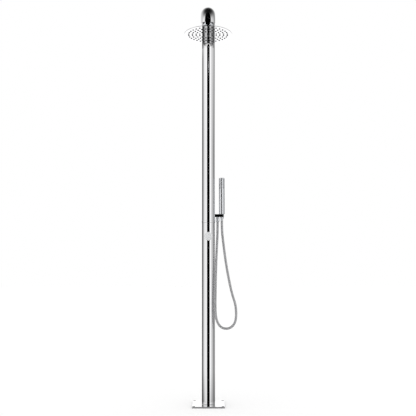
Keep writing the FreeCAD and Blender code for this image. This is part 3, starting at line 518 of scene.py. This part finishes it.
# ------------------------------------------------------------------ floor plate
def reach(point):
    """How far out from the post's axis, square to the plate's sides."""
    return max(abs(point.x), abs(point.y))


def floor_plate_mesh():
    """The plate with a broken rim, its weld ground back to a small even hollow."""
    near = 0.01
    bm = merged_copy("base_plate")

    # The plate is 180 mm square; its rounded corners begin beyond this reach.
    corners_from = 79
    rim = [e for e in bm.edges
           if all(abs(v.co.z - PLATE_TOP) < near and reach(v.co) > corners_from
                  for v in e.verts)
           and any(abs(f.normal.z) < 0.1 for f in e.link_faces)]
    rounded_edges(bm, rim, 0.6, 3)

    # The weld lies between these radii; what is left of it starts at its foot.
    weld_low = 37
    weld_high = 44
    weld_foot = 38.1
    weld_left = 0.3
    for vert in bm.verts:
        radius = vert.co.xy.length
        if vert.co.z > PLATE_TOP - near and weld_low < radius < weld_high:
            vert.co.xy *= (weld_foot + (radius - weld_foot) * weld_left) / radius
            vert.co.z = PLATE_TOP + (vert.co.z - PLATE_TOP) * weld_left
    bm.normal_update()

    # Finish 1 is for the ground rim, finish 2, painted shade, for the bores and chamfers of the
    # holes.
    rim_from = 88.5
    holes_from = 70
    holes_to = 88
    for face in bm.faces:
        out = reach(face.calc_center_median())
        if out > rim_from and abs(face.normal.z) < 0.95:
            face.material_index = 1
        elif holes_from < out < holes_to and abs(face.normal.z) < 0.98:
            face.material_index = 2
    return bm


# The bores and chamfers of the anchor holes take the painted black shade as finish 2.
piece_from(floor_plate_mesh(), "floor_plate", *mirror, ["base_plate"],
           second=(ground_edge, hole_shade_black))


# ------------------------------------------------------------------ swivel
def ball_outline(radius, first, last, step):
    """Corners on a ball round the outline's origin; degrees up from its lowest point."""
    return [(radius * math.sin(math.radians(a)), -radius * math.cos(math.radians(a)))
            for a in range(first, last, step)]


turned("arm_end_disc", mirror, ["arm_end_cap"],
       [(NECK_HOLE_R, LEG_END), (SLEEVE_R, LEG_END), (SLEEVE_R, 2045), (NECK_HOLE_R, 2045)],
       [((0, 1), 0.4)], at=AT_ARM_END)
turned("swivel_neck", chrome, ["swivel_stem"],
       [(3.5, -10.34), *ball_outline(11.0, 20, 155, 5),
        (5.0, 12.0), (8.0, 19.0), (8.0, 40.0), (3.5, 40.0)],
       at=AT_BALL)
# Cup round the swivel, pressed from thin sheet, its lip turned in below.
turned("swivel_cup", chrome, (),
       [(20.0, 2029.5), (28.6, 2029.5), (28.6, LEG_END), (NECK_HOLE_R, LEG_END),
        (NECK_HOLE_R, 2039.8), (27.4, 2039.8), (27.4, 2030.7), (20.0, 2030.7)],
       [((1,), 0.4)], at=AT_ARM_END)
turned("swivel_collar_nut", head_chrome, ["swivel_collar"],
       [(14.1, -5.2), (14.1, -12), (17, -12), (17, 8), (14, 17), (13.5, 17),
        *ball_outline(13.1, 139, 67, -6)],
       [((2, 3), 1.0)], at=AT_BALL)

# ------------------------------------------------------------------ rain head
HEAD_LOW = 1983.0
HEAD_RIM = 1985.4
HEAD_R = 125.0
HEAD_SHEET = 1.2
NOZZLE_RINGS = ((0.0, 1), (25.2, 6), (44.6, 12), (63.05, 18), (82.45, 24), (102.05, 30))


def spray_face_mesh():
    """Dished sheet; the ground rim has finish 1."""
    inner_r = HEAD_R - HEAD_SHEET
    inner_z = HEAD_LOW + HEAD_SHEET
    bm = spun([(0, HEAD_LOW), (HEAD_R, HEAD_LOW), (HEAD_R, HEAD_RIM), (inner_r, HEAD_RIM),
               (inner_r, inner_z), (0, inner_z)], [((1, 2), 0.5)], steps=HEAD_STEPS,
              closed=False, at=AT_ARM_END)
    for face in bm.faces:
        if abs(face.normal.z) < 0.8 and face.calc_center_median().z > HEAD_LOW:
            face.material_index = 1
    return bm


def nozzle_profile(base_r, tip_r, proud, orifice_r):
    """One soft nozzle pointing down from z = 0, its tip rounded and dimpled."""
    return [(0.0, -proud + 0.5), (orifice_r, -proud + 0.4), (orifice_r + 0.15, -proud),
            (tip_r - 0.25, -proud), (tip_r, -proud + 0.3), (base_r, -0.05), (base_r, 0.3),
            (0.0, 0.3)]


def nozzle_field(places, profile, turn=UPRIGHT):
    """The same nozzle at each place."""
    return joined(spun(profile, steps=NOZZLE_STEPS, closed=False, at=place, turn=turn)
                  for place in places)


piece_from(spray_face_mesh(), "rain_head_spray_face", *head_steel, ["head_spray_plate"],
           second=(ground_edge,))
turned("rain_head_back", head_steel, ["head_back_plate"],
       [(3.5, 1984.9), (123.7, 1984.9), (123.7, HEAD_RIM), (18, HEAD_RIM), (15, 1986.6),
        (14, 1991), (14, 2012.7), (11.6, 2012.7), (9.6, 2009), (9.6, 2007.3), (3.5, 2007.3)],
       [((2, 3, 4, 5), 0.4)], steps=HEAD_STEPS, at=AT_ARM_END)
head_places = []
for ring_r, ring_count in NOZZLE_RINGS:
    for number in range(ring_count):
        angle = 2 * math.pi * (number + 0.5) / ring_count
        head_places.append((ring_r * math.cos(angle), ring_r * math.sin(angle) - ARM_REACH,
                            HEAD_LOW))
mat_sheet = spun([(0, 1984.25), (123.6, 1984.25), (123.6, 1984.85), (0, 1984.85)],
                 steps=MAT_STEPS, closed=False, at=AT_ARM_END)
head_nozzles = nozzle_field(head_places, nozzle_profile(4.4, 3.6, 2.0, 1.0))
piece_from(joined((head_nozzles, mat_sheet)), "rain_head_nozzles", *head_rubber,
           ["head_nozzle_mat"])


# ------------------------------------------------------------------ tap
def saddle_ring(outer, inner, front):
    """Round cover whose back is shaped to the post; front is its distance from the axis."""
    back = 20
    bm = spun([(inner, back), (outer, back), (outer, front), (inner, front)],
              [((2,), 0.8)], at=AT_KNOB, turn=UP_TO_FRONT)
    for vert in bm.verts:
        if vert.co.y > -back - 1:
            vert.co.y = -math.sqrt((POST_R + 0.05) ** 2 - vert.co.x ** 2)
    return bm


piece_from(saddle_ring(22.0, 15.1, 44.0), "tap_cover", *chrome, ["valve_escutcheon"])
turned("tap_knob", knob_chrome, ["control_knob"],
       [(5.05, 57), (8, 57), (8, 58), (20.5, 58), (20.5, 46), (23.25, 46),
        (23.25, 74), (13.95, 75.4), (6.98, 75.9), (0, 76), (0, 66), (5.05, 66)],
       [((5,), 0.5), ((6,), 1.6)], at=AT_KNOB, turn=UP_TO_FRONT)

# ------------------------------------------------------------------ holder bar
piece_from(merged_copy("holder_bar"), "hand_shower_bar", *chrome, ["holder_bar"])
turned("hose_outlet", chrome, ["outlet_nipple"],
       [(4.5, 1031.7), (8.5, 1031.7), (8.5, 1048), (9.5, 1048), (9.5, 1055),
        (6.5, 1055), (6.5, 1063.1), (4.5, 1063.1)],
       [((3, 4), 0.6)], at=AT_OUTLET)
turned("hose_union_nut", chrome, ["hose_nut"],
       [(4.5, 1027.7), (8.25, 1027.7), (10.75, 1030.7), (10.75, 1047.7),
        (8.55, 1047.7), (8.55, 1029.7), (4.5, 1029.7)],
       [((1, 2), 0.8), ((3,), 1.2)], at=AT_OUTLET)

# ------------------------------------------------------------------ hand shower
HAND_R = 16.7
HAND_BORE_R = 14.7
HAND_LOW = 1073.3
HAND_TOP = 1283.3
WINDOW_LOW = 1219.3
WINDOW_TOP = 1277.3
WINDOW_Z = (WINDOW_LOW + WINDOW_TOP) / 2
FLAT_Y = -12.4
INSERT_SIZE = (19.4, 0.9, 57.6)
INSERT_Y = -12.75
JET_Y = -13.2
JET_PITCH = 5.6
JET_ROWS = 9
JET_COLUMNS = 3

turned("hose_end_sleeve", hose_end_chrome, ["hose_ferrule"],
       [(0, 1035), (7.4, 1035), (7.4, 1046.7), (4.0, 1046.7), (4.0, 1060), (0, 1060)],
       [((1, 2), 0.7)], closed=False, at=AT_SOCKET)
turned("hand_shower_cone", hand_chrome, ["hose_cone"],
       [(4.05, 1047), (7.9, 1047), (9.2, 1073), (9.2, HAND_LOW), (6.0, HAND_LOW),
        (6.0, 1085.3), (4.05, 1085.3)],
       [((1,), 0.4)], at=AT_SOCKET)


def hand_shower_tube():
    """Round-topped tube with a flat milled into its front for the spray insert."""
    wall = HAND_R - HAND_BORE_R
    step = 0.05
    levels = [HAND_LOW, WINDOW_LOW, WINDOW_LOW + step, WINDOW_TOP - step, WINDOW_TOP, HAND_TOP]
    outline = [(HAND_BORE_R, HAND_LOW), *((HAND_R, level) for level in levels),
               (0, HAND_TOP), (0, HAND_TOP - wall), (HAND_BORE_R, HAND_TOP - wall)]
    bm = spun(outline, [((1,), 0.5), ((6,), 3.0)])
    for vert in bm.verts:
        milled = WINDOW_LOW + step / 2 < vert.co.z < WINDOW_TOP - step / 2
        outside = vert.co.xy.length > HAND_R - wall / 2
        if milled and outside and vert.co.y < FLAT_Y:
            vert.co.y = FLAT_Y
    bmesh.ops.translate(bm, vec=AT_SOCKET, verts=bm.verts)
    return bm


def spray_insert():
    """Flat panel let into the tube's flat, its corners and front rim rounded."""
    half_depth = INSERT_SIZE[1] / 2
    bm = bmesh.new()
    bmesh.ops.create_cube(bm, size=1.0)
    bmesh.ops.scale(bm, vec=INSERT_SIZE, verts=bm.verts)
    corners = [e for e in bm.edges
               if abs(e.verts[0].co.y - e.verts[1].co.y) > half_depth]
    rounded_edges(bm, corners, 1.2, 4)
    front_rim = [e for e in bm.edges if all(v.co.y < -0.9 * half_depth for v in e.verts)]
    rounded_edges(bm, front_rim, 0.3, 2)
    bmesh.ops.translate(bm, vec=(SOCKET_X, INSERT_Y, WINDOW_Z), verts=bm.verts)
    return bm


piece_from(hand_shower_tube(), "hand_shower_handle", *hand_chrome, ["handset_tube"])
piece_from(spray_insert(), "hand_shower_spray_insert", *hand_plastic, ["handset_spray_plate"])
jet_places = [(SOCKET_X + JET_PITCH * (column - JET_COLUMNS // 2), JET_Y,
               WINDOW_Z + JET_PITCH * (row - JET_ROWS // 2))
              for row in range(JET_ROWS) for column in range(JET_COLUMNS)]
piece_from(nozzle_field(jet_places, nozzle_profile(1.5, 1.1, 0.8, 0.4), DOWN_TO_FRONT),
           "hand_shower_nozzles", *hand_rubber, ["handset_nozzles"])

# ------------------------------------------------------------------ studio
# The room that polished metal mirrors: degrees round from the front, then the brightness of
# the high walls, of the walls at eye level and of the floor.
LEFT_WALLS = (
    (0, (1.3, 1.15, 0.95)), (30, (1.3, 1.15, 0.95)), (45, (1.25, 1.1, 0.9)),
    (60, (1.1, 1.1, 0.72)), (80, (1.15, 0.95, 0.32)), (92, (0.75, 0.62, 0.15)),
    (110, (0.36, 0.25, 0.04)), (132, (0.22, 0.08, 0.02)), (150, (0.3, 0.15, 0.1)),
    (165, (0.75, 1.3, 1.3)), (180, (0.75, 1.3, 1.3)))
RIGHT_WALLS = (
    (0, (1.3, 1.3, 0.75)), (30, (1.3, 1.3, 0.75)), (45, (1.1, 1.1, 0.62)),
    (56, (0.9, 0.78, 0.34)), (75, (0.8, 0.66, 0.34)), (90, (0.74, 0.45, 0.2)),
    (102, (0.62, 0.22, 0.14)), (120, (0.4, 0.4, 0.12)), (140, (0.35, 0.4, 0.15)),
    (165, (0.75, 1.3, 1.3)), (180, (0.75, 1.3, 1.3)))
# How much of that is left towards the ceiling: sine of the elevation, then a share.
CEILING = (
    (0.0, 1.0), (0.375, 1.0), (0.5, 0.92), (0.616, 0.72), (0.707, 0.42),
    (0.766, 0.29), (0.81, 0.2), (0.848, 0.1), (0.914, 0.035), (0.97, 0.01))
ROOM_PEAK = 1.35
# Sines of the elevations between which one part of the room passes into the next.
FLOOR_TO_WALL = (-0.212, -0.148)
WALL_TO_HIGH = (0.19, 0.32)
HIGH_TO_LIFTED = (0.32, 0.35)
LEAST_LIFTED = 0.62
WHITE = (1, 1, 1, 1)


def calc(tree, operation, first, second=None):
    """One sum; each of its terms is a socket or a number."""
    settings = {"operation": operation}
    links = {}
    for place, term in enumerate((first, second)):
        if isinstance(term, bpy.types.NodeSocket):
            links[place] = term
        elif term is not None:
            settings[place] = term
    return add(tree, "ShaderNodeMath", settings, links).outputs[0]


def between(tree, share, low, high):
    """Low where the share is 0, high where it is 1."""
    return add(tree, "ShaderNodeMix", {"data_type": "FLOAT"},
               {0: share, 2: low, 3: high}).outputs[0]


def ramp(tree, stops, source):
    """Stops give a place from 0 to 1 and three levels."""
    made = add(tree, "ShaderNodeValToRGB", None, {"Fac": source})
    elements = made.color_ramp.elements
    while len(elements) < len(stops):
        elements.new(0.5)
    for element, (place, levels) in zip(elements, stops):
        element.position = place
        element.color = (*levels, 1.0)
    return made.outputs["Color"]


def shown(tree, share, plain, in_metal):
    """The plain shader, or the one for polished metal where the share is 1."""
    return add(tree, "ShaderNodeMixShader", None,
               {0: share, 1: plain.outputs[0], 2: in_metal.outputs[0]})


def studio_world():
    """White to the camera; to polished metal a white room with grey sides and dark ceiling."""
    world = bpy.data.worlds.new("studio")
    bpy.context.scene.world = world
    world.use_nodes = True
    tree = world.node_tree
    tree.nodes.clear()
    coords = add(tree, "ShaderNodeTexCoord").outputs["Generated"]
    split = add(tree, "ShaderNodeSeparateXYZ", None, {"Vector": coords})
    height = split.outputs["Z"]
    front = calc(tree, "MULTIPLY", split.outputs["Y"], -1.0)
    side = calc(tree, "ABSOLUTE", split.outputs["X"])
    round_share = calc(tree, "DIVIDE", calc(tree, "ARCTAN2", side, front), math.pi)

    def walls(stops):
        """Brightness of one side of the room."""
        scaled = [(degrees / 180, [level / ROOM_PEAK for level in levels])
                  for degrees, levels in stops]
        parts = add(tree, "ShaderNodeSeparateColor", None,
                    {"Color": ramp(tree, scaled, round_share)})
        low = between(tree, mapped(tree, height, FLOOR_TO_WALL), parts.outputs["Blue"],
                      parts.outputs["Green"])
        return between(tree, mapped(tree, height, WALL_TO_HIGH), low, parts.outputs["Red"])

    left = walls(LEFT_WALLS)
    right = walls(RIGHT_WALLS)
    # The left wall is never dark high up.
    left = between(tree, mapped(tree, height, HIGH_TO_LIFTED), left,
                   calc(tree, "MAXIMUM", left, LEAST_LIFTED))
    room = between(tree, calc(tree, "GREATER_THAN", split.outputs["X"], 0.0), left, right)
    ceiling = ramp(tree, [(place, (share,) * 3) for place, share in CEILING], height)
    strength = calc(tree, "MULTIPLY", calc(tree, "MULTIPLY", room, ceiling), ROOM_PEAK)
    in_metal = add(tree, "ShaderNodeBackground", {"Color": WHITE}, {"Strength": strength})
    plain = add(tree, "ShaderNodeBackground", {"Color": WHITE, "Strength": 1.0})
    rays = add(tree, "ShaderNodeLightPath")
    surface(tree, shown(tree, rays.outputs["Is Glossy Ray"], plain, in_metal),
            "ShaderNodeOutputWorld")


def stage_sheet(name, material, corner_low, corner_high, place):
    """A flat rectangle of the studio, given in metres before it is put in its place."""
    bm = bmesh.new()
    bmesh.ops.create_grid(bm, x_segments=1, y_segments=1, size=0.5)
    width, depth = (high - low for low, high in zip(corner_low, corner_high))
    bmesh.ops.scale(bm, vec=(width, depth, 1), verts=bm.verts)
    middle = [(low + high) / 2 for low, high in zip(corner_low, corner_high)]
    bmesh.ops.translate(bm, vec=(*middle, 0), verts=bm.verts)
    bmesh.ops.transform(bm, matrix=place, verts=bm.verts)
    object_from(bm, name, (material,), smooth=False)


def studio_floor():
    """Pale floor with a soft contact shadow; polished metal sees the room through it."""
    just_below = Matrix.Translation((0, 0, -0.0004))
    material, tree = new_finish("pale_studio_floor")
    paint = add(tree, "ShaderNodeBsdfDiffuse", {"Color": (0.9, 0.9, 0.9, 1.0)})
    glow = add(tree, "ShaderNodeEmission", {"Color": WHITE, "Strength": 0.12})
    lit = add(tree, "ShaderNodeAddShader", None, {0: paint.outputs[0], 1: glow.outputs[0]})
    clear = add(tree, "ShaderNodeBsdfTransparent")
    rays = add(tree, "ShaderNodeLightPath")
    surface(tree, shown(tree, rays.outputs["Is Glossy Ray"], lit, clear))
    stage_sheet("studio_floor", material, (-30, -30), (30, 30), just_below)


def studio_flag():
    """Black flag in front of the post; only polished metal that isn't too near sees it."""
    nearest = 0.12
    in_front = Matrix.Translation((0, -0.666, 0)) @ UP_TO_FRONT
    material, tree = new_finish("black_flag_cloth")
    black = add(tree, "ShaderNodeEmission", {"Color": (0, 0, 0, 1)})
    clear = add(tree, "ShaderNodeBsdfTransparent")
    rays = add(tree, "ShaderNodeLightPath")
    far = calc(tree, "GREATER_THAN", rays.outputs["Ray Length"], nearest)
    seen = calc(tree, "MULTIPLY", rays.outputs["Is Glossy Ray"], far)
    surface(tree, shown(tree, seen, clear, black))
    stage_sheet("studio_flag", material, (-0.3, -0.15), (0.25, 4.0), in_front)


def set_camera():
    lens = bpy.data.cameras.new("photo_camera")
    lens.lens = LENS_MM
    lens.sensor_width = SENSOR_MM
    lens.clip_end = SEEN_TO
    camera = placed("photo_camera", lens)
    camera.location = CAMERA_AT
    camera.rotation_euler = (math.radians(CAMERA_TILT), 0.0, math.radians(CAMERA_TURN))
    bpy.context.scene.camera = camera


studio_world()
studio_floor()
studio_flag()
set_camera()
bpy.context.scene.view_settings.view_transform = "Standard"
